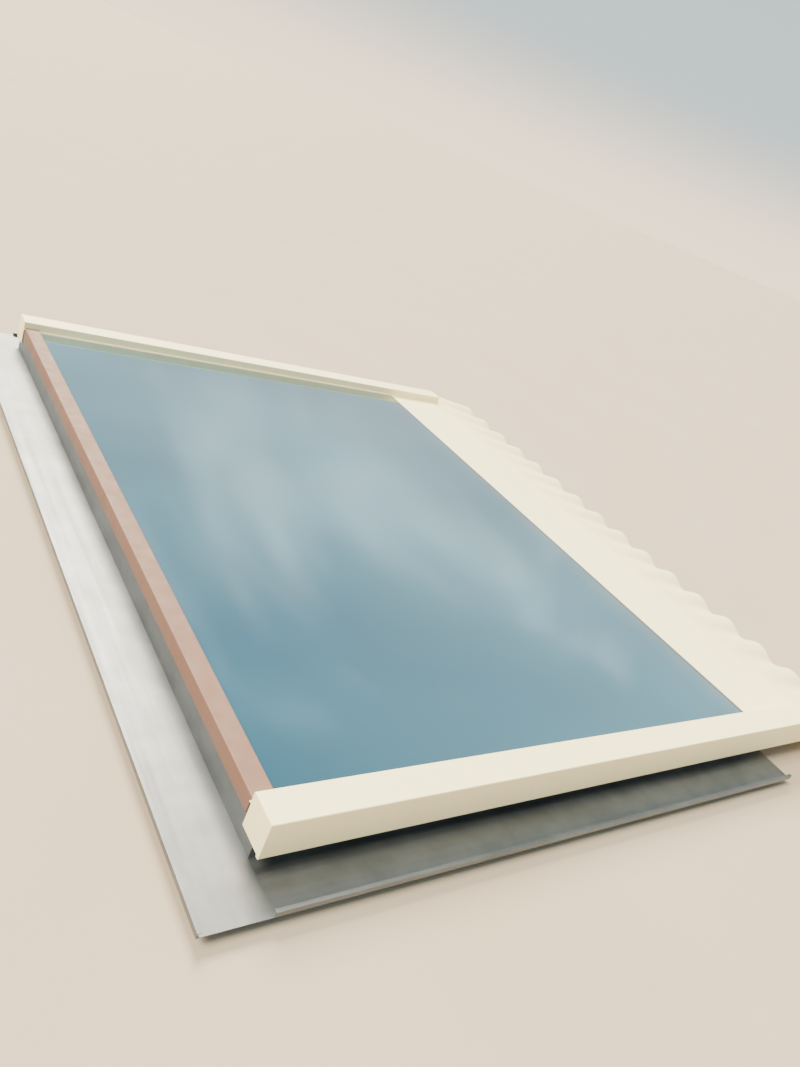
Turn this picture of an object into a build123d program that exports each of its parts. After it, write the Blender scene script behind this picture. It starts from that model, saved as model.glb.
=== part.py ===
from build123d import *
import os

# A fixed roof skylight for a tiled slope, in millimetres.
# The glass plane is level here: +Z leaves the roof square to the glass, +Y points up the slope
# to the head, -Y down the slope to the sill. +X and -X are the two sides.
# A thermally broken aluminium kerb frame carries a sealed double-glazed unit.
# Pressure plates clamp the glass at both sides and at the head. At the sill the glass is free of
# bars and meets a wide apron flush, over a silicone joint. Folded cappings cover both sides and
# run on past the sill. Trays at the sides and a back gutter at the head go under the tiles.
# Every section is drawn in two directions: "out" counts outwards from the sight line, which is
# where the visible glass ends, and "z" counts up from the flat base of the kerb.

# Clear glass
SIGHT_WIDTH = 2700.0          # between the two side cappings
VISIBLE_LENGTH = 1940.0       # from the head cover to the free sill edge of the glass

# Glazing unit
GLASS_COVER = 23.0            # how far the glass runs past the sight line
PLY = 4.0
INTERLAYER = 0.76
CAVITY = 16.0
OUTER_PANE = 8.0
SPACER_WIDTH = 8.0
SPACER_WALL = 0.6
SPACER_KEY_LEG = 30.0
SPACER_KEY_PLAY = 0.1
EDGE_SEAL_WIDTH = 8.0
ARRIS = 0.6

# Kerb frame, an inner and an outer extrusion joined by insulating strips
KERB_HEIGHT = 100.0
KERB_INSIDE = 6.0             # how far the kerb shows inside the sight line
BREAK_GAP = 10.0
OUTER_WIDTH = 12.0
INNER_WALL = 3.0
BREAK_WALL = 3.5              # wall that holds the insulating strips
OUTER_WALL = 2.2
CHAMBER_WEB_Z = 48.0
STRIP_THICKNESS = 2.6
STRIP_GRIP = 2.0
STRIP_FROM_BASE = 16.0
STRIP_FROM_TOP = 24.0
STRIP_PLAY = 0.2
FOOT_OUT = 34.0               # fixing flange beyond the outer extrusion
FOOT_THICKNESS = 4.0
FOOT_HOLE = 7.0
FOOT_HOLE_PITCH = 900.0
FOOT_HOLE_END = 90.0
CLEAT_LEG = 80.0
CLEAT_PLAY = 0.3

# Screw port that stands on the inner extrusion, and the seat gasket beside it
PORT_WIDTH = 10.0
PORT_STAND = 6.0              # part of the port that stands on the inner extrusion
PORT_GROOVE = 5.0
PORT_FLOOR = 4.0
PORT_TOP_DROP = 1.5
SILL_PORT_HEIGHT = 16.0
SEAT_RIB = 1.2
SEAT_RIB_HEIGHT = 2.5
SEAT_RIB_OUT = (4.0, 12.0)
SEAT_GASKET = 5.0
SEAT_GASKET_LIP = 2.0         # how far it shows inside the sight line
GASKET_EDGE = 3.0             # gaskets on the glass stop this far from its edge
SEAT_PLAY = 0.2
BLOCK_LENGTH = 100.0
BLOCK_WIDTH = 5.0
BLOCK_EDGE = 1.5

# Pressure plates
PLATE_SETBACK = 3.0           # from the sight line
PLATE_INSET = 1.0             # from the outer face of the kerb
PLATE_THICKNESS = 5.0
PLATE_GASKET = 3.0
GASKET_SETBACK = 2.0          # from the inner edge of the plate
OUTER_GASKET = 10.0
PLATE_GROOVE = 1.0
PLATE_HOLE = 6.0
SCREW_SHANK = 4.8
SCREW_LENGTH = 30.0
SCREW_HEAD = 10.0             # across the flats
SCREW_HEAD_HEIGHT = 3.5
SCREW_PITCH = 600.0
SCREW_END = 100.0

# Side cappings
CAP_WIDTH = 95.0
CAP_RISE = 38.0               # top of the capping above the glass
CAP_SKIRT = 105.0
CAP_SHEET = 2.0
CAP_BEND = 3.0
CAP_LIP = 6.0
LIP_GASKET_WIDTH = 3.0
CAP_HEM = 12.0
CAP_HEAD_CLEAR = 2.5          # between its closing plate and the upstand of the back gutter
CAP_SILL_OVERRUN = 355.0
CAP_PLAY = 0.3
LIP_GASKET = 2.0
CLIP_SHEET = 1.5
CLIP_LENGTH = 50.0
CLIP_PITCH = 450.0
CLIP_FOOT = 14.0
CLIP_FROM_SCREW = 9.0         # from the line of the screws to the foot of a clip
CLIP_TOP = 34.0
END_PLATE_CLEAR = 3.0

# Flashings under the tiles
FLASHING = 1.5
TRAY_Z = 30.0
TRAY_WIDTH = 150.0
TRAY_SILL_OVERRUN = 40.0
GUTTER_WIDTH = 170.0
WELT_HEIGHT = 12.0
WELT_RETURN = 8.0
HEAD_COVER_CLEAR = 0.5
HEAD_COVER_FOOT = 3.0
HEAD_COVER_LAP = 32.0         # how far the head cover hangs over the upstand of the gutter
HEAD_LIP_SHOW = 2.0           # part of the gasket below the cover that shows on the glass
HEAD_LIP_PLAY = 0.5           # from that gasket to the pressure plate
CAP_GAP = 1.0
UPSTAND_PLAY = 0.5            # below the apron sheet

# Sill joint and apron
JOINT_WIDTH = 8.0
JOINT_DEPTH = 8.0
ROD_PLAY = 0.4
APRON_SHEET = 2.0
APRON_HEM = 18.0
APRON_LENGTH = 740.0          # from the glass edge to the dressed edge
APRON_SIDE_CLEAR = 5.0        # from its upstands to the skirts of the cappings
APRON_UPSTAND = 15.0
APRON_NOTCH = 1.0
APRON_CAP_CLEAR = 6.0
APRON_DROP = 62.0             # fall of the mean line of the dressed edge
TILE_PITCH = 186.0
CROWN_SHARE = 0.6
WAVE_STEEPNESS = 0.17         # rise of each roll and fall of each valley, for one unit of its width
WAVE_CHORDS = 10              # flats that the sheet takes over each roll and valley
DRILL = 60.0                  # longer than any wall that a hole goes through

# Levels and faces worked out from the sizes above
GLASS_BOTTOM = KERB_HEIGHT + SEAT_GASKET
CAVITY_BOTTOM = GLASS_BOTTOM + 2 * PLY + INTERLAYER
CAVITY_TOP = CAVITY_BOTTOM + CAVITY
GLASS_TOP = CAVITY_TOP + OUTER_PANE
PLATE_BOTTOM = GLASS_TOP + PLATE_GASKET
PLATE_TOP = PLATE_BOTTOM + PLATE_THICKNESS
CAP_TOP = GLASS_TOP + CAP_RISE
CAP_FOOT = CAP_TOP - CAP_SKIRT
PORT_OUT = GLASS_COVER + BLOCK_WIDTH
PORT_CENTRE = PORT_OUT + PORT_WIDTH / 2
INNER_OUT = PORT_OUT + PORT_STAND
BREAK_OUT = INNER_OUT + BREAK_GAP
KERB_OUT = BREAK_OUT + OUTER_WIDTH
STRIP_LEVELS = (STRIP_FROM_BASE, KERB_HEIGHT - STRIP_FROM_TOP)
SEAT_GASKET_OUT = (-SEAT_GASKET_LIP, GLASS_COVER - GASKET_EDGE)
PLATE_OUT = (PLATE_SETBACK, KERB_OUT - PLATE_INSET)
PLATE_INNER_GASKET = (PLATE_SETBACK + GASKET_SETBACK, GLASS_COVER - GASKET_EDGE)
PLATE_OUTER_GASKET = (PLATE_OUT[1] - OUTER_GASKET, PLATE_OUT[1])
CLIP_OUT = (PORT_CENTRE - CLIP_FROM_SCREW - CLIP_FOOT, PORT_CENTRE - CLIP_FROM_SCREW)
TRAY_OUT = KERB_OUT + FLASHING + TRAY_WIDTH
GUTTER_OUT = KERB_OUT + FLASHING + GUTTER_WIDTH
HEAD_COVER_TOP = PLATE_TOP + SCREW_HEAD_HEIGHT + HEAD_COVER_CLEAR + FLASHING
APRON_BOTTOM = GLASS_TOP - APRON_SHEET
UPSTAND_TOP = APRON_BOTTOM - UPSTAND_PLAY
JOINT_OUT = GLASS_COVER + JOINT_WIDTH

HALF_WIDTH = SIGHT_WIDTH / 2
HALF_LENGTH = (VISIBLE_LENGTH - GLASS_COVER) / 2
HALF_RUN = {"left": HALF_LENGTH, "right": HALF_LENGTH, "head": HALF_WIDTH, "sill": HALF_WIDTH}
SIDES = ("left", "right")
RAILS = ("head", "sill", "left", "right")

CAP_END_Y = -(HALF_LENGTH + GLASS_COVER + CAP_SILL_OVERRUN)
CAP_HEAD_Y = HALF_LENGTH + KERB_OUT + FLASHING + CAP_HEAD_CLEAR + CAP_SHEET
APRON_END_Y = -(HALF_LENGTH + GLASS_COVER + APRON_LENGTH)
GUTTER_END_Y = HALF_LENGTH + GUTTER_OUT + FLASHING
BETWEEN_CAPS = HALF_WIDTH - CAP_LIP - CAP_GAP

CROWN = TILE_PITCH * CROWN_SHARE
VALLEY = TILE_PITCH - CROWN
TILE_CROWNS = int((2 * (HALF_WIDTH + TRAY_OUT) + VALLEY) // TILE_PITCH)

# The origin is the bottom centre of the whole skylight, so the glass sits up the slope from it
CENTRE_Y = -(APRON_END_Y + GUTTER_END_Y) / 2

PLACE = {
    "right": Pos(HALF_WIDTH, 0, 0),
    "left": Pos(-HALF_WIDTH, 0, 0) * Rot(0, 0, 180),
    "head": Pos(0, HALF_LENGTH, 0) * Rot(0, 0, 90),
    "sill": Pos(0, -HALF_LENGTH, 0) * Rot(0, 0, -90),
}

nodes = {}


def patch(out_span, z_span):
    """Rectangle of a section, from its spans outwards and upwards."""
    width = out_span[1] - out_span[0]
    height = z_span[1] - z_span[0]
    return Pos(out_span[0] + width / 2, z_span[0] + height / 2) * Rectangle(width, height)


def block(x_span, y_span, z_span):
    """Solid box from its three spans."""
    size = [span[1] - span[0] for span in (x_span, y_span, z_span)]
    middle = [(span[1] + span[0]) / 2 for span in (x_span, y_span, z_span)]
    return Pos(*middle) * Box(*size)


def run(profile, start, end):
    """Section pushed along a rail from start to end."""
    return Pos(0, end, 0) * extrude(Plane.XZ * profile, amount=end - start)


def mitred(profile, half_run):
    """Section run along a rail whose two ends are cut at 45 degrees."""
    reach = max(abs(v.X) for v in profile.vertices())
    inside = min(v.X for v in profile.vertices())
    bar = run(profile, -half_run - reach, half_run + reach)
    plan = Polygon(
        (inside, -half_run - inside),
        (reach, -half_run - reach),
        (reach, half_run + reach),
        (inside, half_run + inside),
        align=None,
    )
    return bar & extrude(plan, amount=CAP_TOP)


def on(side, shape):
    """Piece drawn for a rail, set on that side of the skylight."""
    return PLACE[side] * shape


def drill(diameter, out, station, z=0):
    """Tool for a hole square to the glass."""
    return Pos(out, station, z) * Cylinder(diameter / 2, DRILL)


def evenly(half_span, pitch):
    """Stations spread evenly over a span at no more than the pitch."""
    gaps = max(1, int(2 * half_span // pitch) + 1)
    return [-half_span + 2 * half_span * i / gaps for i in range(gaps + 1)]


def folded(points, radii, sheet):
    """Section of sheet metal bent along its outer line, with the metal to the right of the line."""
    line = FilletPolyline(*points, radius=radii)
    return make_face(offset(line, amount=sheet, side=Side.RIGHT).edges())


def inner_profile(port_height):
    """Inner extrusion: two chambers, seat ribs and the screw port beside the glass."""
    body = patch((-KERB_INSIDE, INNER_OUT), (0, KERB_HEIGHT))
    chamber = (-KERB_INSIDE + INNER_WALL, INNER_OUT - BREAK_WALL)
    body -= patch(chamber, (INNER_WALL, CHAMBER_WEB_Z))
    body -= patch(chamber, (CHAMBER_WEB_Z + INNER_WALL, KERB_HEIGHT - INNER_WALL))
    for level in STRIP_LEVELS:
        body -= strip_groove((INNER_OUT - STRIP_GRIP - STRIP_PLAY, INNER_OUT), level)
    for rib in SEAT_RIB_OUT:
        body += patch((rib, rib + SEAT_RIB), (KERB_HEIGHT, KERB_HEIGHT + SEAT_RIB_HEIGHT))
    port = (PORT_OUT, PORT_OUT + PORT_WIDTH)
    groove = (PORT_CENTRE - PORT_GROOVE / 2, PORT_CENTRE + PORT_GROOVE / 2)
    port_top = KERB_HEIGHT + port_height
    body += patch(port, (KERB_HEIGHT - INNER_WALL, port_top))
    body -= patch(groove, (KERB_HEIGHT + PORT_FLOOR, port_top))
    return body


def outer_profile(top):
    """Outer extrusion: one tall chamber and the fixing flange."""
    body = patch((BREAK_OUT, KERB_OUT), (0, top))
    body -= patch((BREAK_OUT + BREAK_WALL, KERB_OUT - OUTER_WALL), (FOOT_THICKNESS, top - OUTER_WALL))
    for level in STRIP_LEVELS:
        body -= strip_groove((BREAK_OUT, BREAK_OUT + STRIP_GRIP + STRIP_PLAY), level)
    body += patch((KERB_OUT, KERB_OUT + FOOT_OUT), (0, FOOT_THICKNESS))
    return body


def strip_groove(out_span, level):
    half = STRIP_THICKNESS / 2 + STRIP_PLAY
    return patch(out_span, (level - half, level + half))


def kerb_rails():
    for side in RAILS:
        at_sill = side == "sill"
        port_height = SILL_PORT_HEIGHT if at_sill else GLASS_TOP - PORT_TOP_DROP - KERB_HEIGHT
        outer_top = APRON_BOTTOM if at_sill else GLASS_TOP
        half_run = HALF_RUN[side]
        nodes[f"kerb_inner_{side}"] = on(side, mitred(inner_profile(port_height), half_run))
        outer = mitred(outer_profile(outer_top), half_run)
        for station in evenly(half_run - FOOT_HOLE_END, FOOT_HOLE_PITCH):
            outer -= drill(FOOT_HOLE, KERB_OUT + FOOT_OUT / 2, station)
        nodes[f"kerb_outer_{side}"] = on(side, outer)


def thermal_strips():
    """Two insulating strips a side, gripped by grooves in both extrusions."""
    strips = []
    for side in RAILS:
        for level in STRIP_LEVELS:
            bar = patch(
                (INNER_OUT - STRIP_GRIP, BREAK_OUT + STRIP_GRIP),
                (level - STRIP_THICKNESS / 2, level + STRIP_THICKNESS / 2),
            )
            strips.append(on(side, mitred(bar, HALF_RUN[side])))
    nodes["thermal_strips"] = strips


def corner_pieces(out_span, z_span, leg, play):
    """L-shaped piece in the hollow of a mitred frame, at each of its four corners."""
    low, high = out_span[0] + play, out_span[1] - play
    plan = Polygon(
        (high, high),
        (-leg, high),
        (-leg, low),
        (low, low),
        (low, -leg),
        (high, -leg),
        align=None,
    )
    height = z_span[1] - z_span[0] - 2 * play
    piece = Pos(HALF_WIDTH, HALF_LENGTH, z_span[0] + play) * extrude(plan, amount=height)
    corners = []
    for near in (piece, mirror(piece, about=Plane.YZ)):
        corners += [near, mirror(near, about=Plane.XZ)]
    return corners


def corner_cleats():
    """Cleats that fill both chambers of the inner extrusion at each mitre."""
    out_span = (-KERB_INSIDE + INNER_WALL, INNER_OUT - BREAK_WALL)
    lower = corner_pieces(out_span, (INNER_WALL, CHAMBER_WEB_Z), CLEAT_LEG, CLEAT_PLAY)
    upper_span = (CHAMBER_WEB_Z + INNER_WALL, KERB_HEIGHT - INNER_WALL)
    nodes["corner_cleats"] = lower + corner_pieces(out_span, upper_span, CLEAT_LEG, CLEAT_PLAY)


def seat_gasket():
    """Mitred gasket under the glass, with its foot held between the two seat ribs."""
    rib_top = KERB_HEIGHT + SEAT_RIB_HEIGHT + SEAT_PLAY
    foot_span = (SEAT_RIB_OUT[0] + SEAT_RIB + SEAT_PLAY, SEAT_RIB_OUT[1] - SEAT_PLAY)
    profile = patch(SEAT_GASKET_OUT, (rib_top, GLASS_BOTTOM)) + patch(foot_span, (KERB_HEIGHT, rib_top))
    nodes["seat_gasket"] = [on(side, mitred(profile, HALF_RUN[side])) for side in RAILS]


def pane(bottom, thickness):
    half_x = HALF_WIDTH + GLASS_COVER
    half_y = HALF_LENGTH + GLASS_COVER
    return block((-half_x, half_x), (-half_y, half_y), (bottom, bottom + thickness))


def glazing_unit():
    """Laminated inner pane, hollow spacer with its corner keys, edge seal and the outer pane."""
    nodes["inner_ply_lower"] = pane(GLASS_BOTTOM, PLY)
    nodes["interlayer"] = pane(GLASS_BOTTOM + PLY, INTERLAYER)
    nodes["inner_ply_upper"] = pane(GLASS_BOTTOM + PLY + INTERLAYER, PLY)
    outer = pane(CAVITY_TOP, OUTER_PANE)
    nodes["outer_pane"] = chamfer(outer.edges(), ARRIS)

    spacer_out = GLASS_COVER - EDGE_SEAL_WIDTH
    bar = (spacer_out - SPACER_WIDTH, spacer_out)
    hollow = (bar[0] + SPACER_WALL, bar[1] - SPACER_WALL)
    hollow_z = (CAVITY_BOTTOM + SPACER_WALL, CAVITY_TOP - SPACER_WALL)
    profile = patch(bar, (CAVITY_BOTTOM, CAVITY_TOP)) - patch(hollow, hollow_z)
    nodes["spacer_bar"] = [on(side, mitred(profile, HALF_RUN[side])) for side in RAILS]
    nodes["spacer_keys"] = corner_pieces(hollow, hollow_z, SPACER_KEY_LEG, SPACER_KEY_PLAY)
    seal = patch((spacer_out, GLASS_COVER), (CAVITY_BOTTOM, CAVITY_TOP))
    nodes["edge_seal"] = [on(side, mitred(seal, HALF_RUN[side])) for side in RAILS]


def setting_blocks():
    """Blocks between the edge of the glass and the screw port, low ones at the sill."""
    blocks = []
    for side in RAILS:
        top = KERB_HEIGHT + SILL_PORT_HEIGHT if side == "sill" else CAVITY_TOP
        for station in (-HALF_RUN[side] / 2, HALF_RUN[side] / 2):
            ends = (station - BLOCK_LENGTH / 2, station + BLOCK_LENGTH / 2)
            piece = block((GLASS_COVER, PORT_OUT), ends, (GLASS_BOTTOM, top - BLOCK_EDGE))
            blocks.append(on(side, piece))
    nodes["setting_blocks"] = blocks


def plate_span(side):
    """Where a pressure plate starts and ends along its rail."""
    if side == "head":
        return -BETWEEN_CAPS, BETWEEN_CAPS
    sill_end = -CAP_END_Y - 2 * CAP_SHEET
    head_end = HALF_LENGTH + PLATE_OUT[1]
    return (-sill_end, head_end) if side == "right" else (-head_end, sill_end)


def screw_stations(side):
    return evenly(HALF_RUN[side] - SCREW_END, SCREW_PITCH)


def pressure_plates():
    profile = patch(PLATE_OUT, (PLATE_BOTTOM, PLATE_TOP))
    for grip in (PLATE_INNER_GASKET, PLATE_OUTER_GASKET):
        middle = (grip[0] + grip[1]) / 2
        key = (middle - PLATE_GROOVE, middle + PLATE_GROOVE)
        profile -= patch(key, (PLATE_BOTTOM, PLATE_BOTTOM + PLATE_GROOVE))
    gaskets = []
    screws = []
    for side in (*SIDES, "head"):
        start, end = plate_span(side)
        plate = run(profile, start, end)
        for station in screw_stations(side):
            plate -= drill(PLATE_HOLE, PORT_CENTRE, station, PLATE_TOP)
            screws.append(on(side, Pos(PORT_CENTRE, station, PLATE_TOP) * plate_screw()))
        nodes[f"pressure_plate_{side}"] = on(side, plate)
        for grip in (PLATE_INNER_GASKET, PLATE_OUTER_GASKET):
            gaskets.append(on(side, run(patch(grip, (GLASS_TOP, PLATE_BOTTOM)), start, end)))
    nodes["plate_gaskets"] = gaskets
    nodes["plate_screws"] = screws


def plate_screw():
    """Hexagon-head screw with its head resting on z = 0."""
    down = (Align.CENTER, Align.CENTER, Align.MAX)
    hexagon = RegularPolygon(SCREW_HEAD / 2, 6, major_radius=False)
    head = extrude(hexagon, amount=SCREW_HEAD_HEIGHT)
    return head + Cylinder(SCREW_SHANK / 2, SCREW_LENGTH, align=down)


def cap_profile():
    """Inverted U of folded sheet with a lip on the glass and a long outer skirt."""
    lip_top = GLASS_TOP + LIP_GASKET + CAP_SHEET
    points = (
        (-CAP_LIP, lip_top),
        (0, lip_top),
        (0, CAP_TOP),
        (CAP_WIDTH, CAP_TOP),
        (CAP_WIDTH, CAP_FOOT),
        (CAP_WIDTH - CAP_HEM, CAP_FOOT),
    )
    return folded(points, CAP_BEND, CAP_SHEET)


def cap_span(side):
    return (CAP_END_Y, CAP_HEAD_Y) if side == "right" else (-CAP_HEAD_Y, -CAP_END_Y)


def side_caps():
    profile = cap_profile()
    lip = (-CAP_LIP + CAP_GAP, -CAP_LIP + CAP_GAP + LIP_GASKET_WIDTH)
    gasket_profile = patch(lip, (GLASS_TOP, GLASS_TOP + LIP_GASKET))
    glass_end = HALF_LENGTH + GLASS_COVER
    lengths = {"right": (CAP_END_Y, glass_end), "left": (-glass_end, -CAP_END_Y)}
    for side in SIDES:
        nodes[f"side_cap_{side}"] = on(side, run(profile, *cap_span(side)))
    nodes["cap_lip_gaskets"] = [on(side, run(gasket_profile, *lengths[side])) for side in SIDES]


def cap_clips():
    """Spring clips that stand on the pressure plates and hold the cappings up."""
    top = CAP_TOP - CAP_SHEET - CAP_PLAY
    profile = patch(CLIP_OUT, (PLATE_TOP, PLATE_TOP + CLIP_SHEET))
    profile += patch((CLIP_OUT[0], CLIP_OUT[0] + CLIP_SHEET), (PLATE_TOP, top))
    profile += patch((CLIP_OUT[0], CLIP_OUT[0] + CLIP_TOP), (top - CLIP_SHEET, top))
    clips = []
    for side in SIDES:
        start, end = plate_span(side)
        middle = (start + end) / 2
        for station in evenly((end - start) / 2 - CLIP_LENGTH, CLIP_PITCH):
            at = middle + station
            clips.append(on(side, run(profile, at - CLIP_LENGTH / 2, at + CLIP_LENGTH / 2)))
    nodes["cap_clips"] = clips


def cap_end_plates():
    """Closing plates inside both ends of each capping."""
    wide = (CAP_SHEET + CAP_PLAY, CAP_WIDTH - CAP_SHEET - CAP_PLAY)
    top = CAP_TOP - CAP_SHEET - CAP_PLAY
    head_plate = patch(wide, (CAP_FOOT + CAP_SHEET + END_PLATE_CLEAR, top))
    sill_plate = patch(wide, (GLASS_TOP + CAP_PLAY, top))
    plates = []
    for side in SIDES:
        start, end = cap_span(side)
        ends = {start: CAP_SHEET, end: -CAP_SHEET}
        for at, inward in ends.items():
            at_head = (at == end) == (side == "right")
            near, far = sorted((at, at + inward))
            plates.append(on(side, run(head_plate if at_head else sill_plate, near, far)))
    nodes["cap_end_plates"] = plates


def head_cover():
    """Folded cover strip over the head plate, on a gasket; its skirt laps the back gutter's upstand."""
    outer_face = KERB_OUT + 2 * FLASHING
    points = (
        (0, GLASS_TOP + HEAD_COVER_FOOT),
        (0, HEAD_COVER_TOP),
        (outer_face, HEAD_COVER_TOP),
        (outer_face, UPSTAND_TOP - HEAD_COVER_LAP),
    )
    cover = folded(points, CAP_BEND, FLASHING)
    nodes["head_cover"] = on("head", run(cover, -BETWEEN_CAPS, BETWEEN_CAPS))
    lip = patch((-HEAD_LIP_SHOW, PLATE_SETBACK - HEAD_LIP_PLAY), (GLASS_TOP, GLASS_TOP + HEAD_COVER_FOOT))
    nodes["head_lip_gasket"] = on("head", run(lip, -BETWEEN_CAPS, BETWEEN_CAPS))


def upstand_profile():
    """Sheet that stands against the outer face of the kerb."""
    return patch((KERB_OUT, KERB_OUT + FLASHING), (TRAY_Z, UPSTAND_TOP))


def back_gutter():
    """Gutter behind the head: an upstand on the kerb and a floor with a welt, wider than the kerb."""
    corner = HALF_WIDTH + KERB_OUT + FLASHING
    wing = HALF_WIDTH + TRAY_OUT
    floor = run(tray_profile(KERB_OUT, GUTTER_OUT), -wing, wing)
    nodes["back_gutter"] = on("head", floor + run(upstand_profile(), -corner, corner))


def tray_profile(start, end):
    """Flat tray under the tiles with a folded welt along its free edge."""
    floor = patch((start, end + FLASHING), (TRAY_Z, TRAY_Z + FLASHING))
    welt_top = TRAY_Z + FLASHING + WELT_HEIGHT
    floor += patch((end, end + FLASHING), (TRAY_Z, welt_top + FLASHING))
    floor += patch((end - WELT_RETURN, end + FLASHING), (welt_top, welt_top + FLASHING))
    return floor


def side_trays():
    profile = tray_profile(KERB_OUT, TRAY_OUT - FLASHING) + upstand_profile()
    sill_end = HALF_LENGTH + KERB_OUT + TRAY_SILL_OVERRUN
    head_end = HALF_LENGTH + KERB_OUT
    spans = {"right": (-sill_end, head_end), "left": (-head_end, sill_end)}
    for side, (start, end) in spans.items():
        nodes[f"side_tray_{side}"] = on(side, run(profile, start, end))


def sill_joint():
    """Silicone bead between glass and apron, with its foam backing rod."""
    half_x = HALF_WIDTH + GLASS_COVER - APRON_NOTCH
    y_span = (-HALF_LENGTH - JOINT_OUT, -HALF_LENGTH - GLASS_COVER)
    joint_bottom = GLASS_TOP - JOINT_DEPTH
    nodes["sill_seal"] = block((-half_x, half_x), y_span, (joint_bottom, GLASS_TOP))
    radius = (JOINT_WIDTH - ROD_PLAY) / 2
    rod = Rot(0, 90, 0) * Cylinder(radius, 2 * half_x)
    nodes["backing_rod"] = Pos(0, sum(y_span) / 2, joint_bottom - radius) * rod


def sheet_edge(y, mean_z, steepness):
    """Outline of the apron sheet across the slope, straight where steepness is zero."""
    x = -(TILE_CROWNS * CROWN + (TILE_CROWNS - 1) * VALLEY) / 2
    top = []
    for i in range(2 * TILE_CROWNS - 1):
        chord, sign = (CROWN, 1) if i % 2 == 0 else (VALLEY, -1)
        rise = sign * steepness * chord
        for j in range(WAVE_CHORDS):
            share = j / WAVE_CHORDS
            top.append((x + share * chord, y, mean_z + 4 * rise * share * (1 - share)))
        x += chord
    top.append((x, y, mean_z))
    bottom = [(at, y, z - APRON_SHEET) for at, y, z in reversed(top)]
    return Wire(Polyline(*top, *bottom, close=True))


def sill_apron():
    """Apron: hem in the joint, flat plate under the cappings, skirt dressed to the tile rolls."""
    joint_y = -HALF_LENGTH - JOINT_OUT
    kerb_y = -HALF_LENGTH - KERB_OUT - APRON_NOTCH
    skirt_y = CAP_END_Y - APRON_CAP_CLEAR
    level = (APRON_BOTTOM, GLASS_TOP)
    narrow = HALF_WIDTH + GLASS_COVER - APRON_NOTCH
    wide = HALF_WIDTH + CAP_WIDTH - CAP_SHEET - APRON_SIDE_CLEAR

    piece = block((-narrow, narrow), (kerb_y, joint_y), level)
    piece += block((-narrow, narrow), (joint_y - APRON_SHEET, joint_y), (GLASS_TOP - APRON_HEM, GLASS_TOP))
    piece += block((-wide, wide), (skirt_y, kerb_y), level)
    for edge in (-wide, wide - APRON_SHEET):
        upstand = (APRON_BOTTOM, GLASS_TOP + APRON_UPSTAND)
        piece += block((edge, edge + APRON_SHEET), (CAP_END_Y + 2 * CAP_SHEET, kerb_y), upstand)
    straight = sheet_edge(skirt_y, GLASS_TOP, 0)
    dressed = sheet_edge(APRON_END_Y, GLASS_TOP - APRON_DROP, WAVE_STEEPNESS)
    piece += Solid.make_loft([straight, dressed], ruled=True)
    nodes["sill_apron"] = piece


def write_parts():
    os.makedirs("parts", exist_ok=True)
    move = Pos(0, CENTRE_Y, 0)
    for name, shape in nodes.items():
        pieces = shape if isinstance(shape, list) else [shape]
        solids = [solid for piece in pieces for solid in piece.solids()]
        export_step(move * Compound(children=solids), f"parts/{name}.step")


kerb_rails()
thermal_strips()
corner_cleats()
seat_gasket()
glazing_unit()
setting_blocks()
pressure_plates()
side_caps()
cap_clips()
cap_end_plates()
head_cover()
back_gutter()
side_trays()
sill_joint()
sill_apron()
write_parts()
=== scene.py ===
import logging
import math
from abc import ABC, abstractmethod
from collections.abc import Callable, Iterable, Mapping, Sequence
from dataclasses import dataclass
from enum import Enum

import bmesh
import bpy
from mathutils import Matrix, Vector, noise


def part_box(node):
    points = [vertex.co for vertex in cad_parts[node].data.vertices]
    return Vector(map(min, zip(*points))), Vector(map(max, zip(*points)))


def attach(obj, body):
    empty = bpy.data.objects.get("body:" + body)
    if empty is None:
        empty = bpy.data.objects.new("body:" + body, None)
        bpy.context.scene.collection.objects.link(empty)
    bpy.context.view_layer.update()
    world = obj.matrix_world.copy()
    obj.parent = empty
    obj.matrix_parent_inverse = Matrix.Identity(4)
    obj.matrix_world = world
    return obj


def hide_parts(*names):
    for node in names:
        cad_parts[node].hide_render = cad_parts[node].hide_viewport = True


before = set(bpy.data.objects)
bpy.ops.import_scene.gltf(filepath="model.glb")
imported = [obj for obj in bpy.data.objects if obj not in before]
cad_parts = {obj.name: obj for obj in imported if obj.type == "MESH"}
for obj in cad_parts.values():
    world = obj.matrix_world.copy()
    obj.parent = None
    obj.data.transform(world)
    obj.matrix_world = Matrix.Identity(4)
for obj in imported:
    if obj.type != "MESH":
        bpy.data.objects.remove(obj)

LOG = logging.getLogger("roof_skylight")
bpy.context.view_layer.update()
MM = 0.001

Colour = tuple[float, float, float, float]
Range = tuple[float, float]
Stretch = tuple[float, float, float]
Mesh = bmesh.types.BMesh
Edge = bmesh.types.BMEdge
Shader = bpy.types.Node
Socket = bpy.types.NodeSocket
Tree = bpy.types.NodeTree

EVEN: Stretch = (1.0, 1.0, 1.0)
NOISE_SPAN: Range = (0.3, 0.7)    # soft noise seldom leaves this range
WAVE_LENGTH = 0.314               # metres from crest to crest of a wave texture of scale 1
MIX_SHARE = 0                     # the sockets of a Mix node that blends colours, by number,
MIX_FIRST = 6                     # because its sockets for numbers have the same names
MIX_SECOND = 7
MIX_COLOUR = 2
SMOOTH_BELOW = math.radians(38)   # faces that meet at a flatter angle are shaded as one


def corners(node: str) -> tuple[Vector, Vector]:
    """Give a CAD node's lowest and highest corners at rest.

    Args:
        node: The node's name in the frame.

    Returns:
        Both corners in millimetres.
    """
    low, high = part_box(node)
    return low / MM, high / MM


PANE_LOW, PANE_HIGH = corners("outer_pane")
APRON_LOW, APRON_HIGH = corners("sill_apron")
JOINT_LOW, JOINT_HIGH = corners("sill_seal")
CAP_LOW, CAP_HIGH = corners("side_cap_right")
CLAMPED_FROM_Y = corners("pressure_plate_left")[0].y


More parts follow.
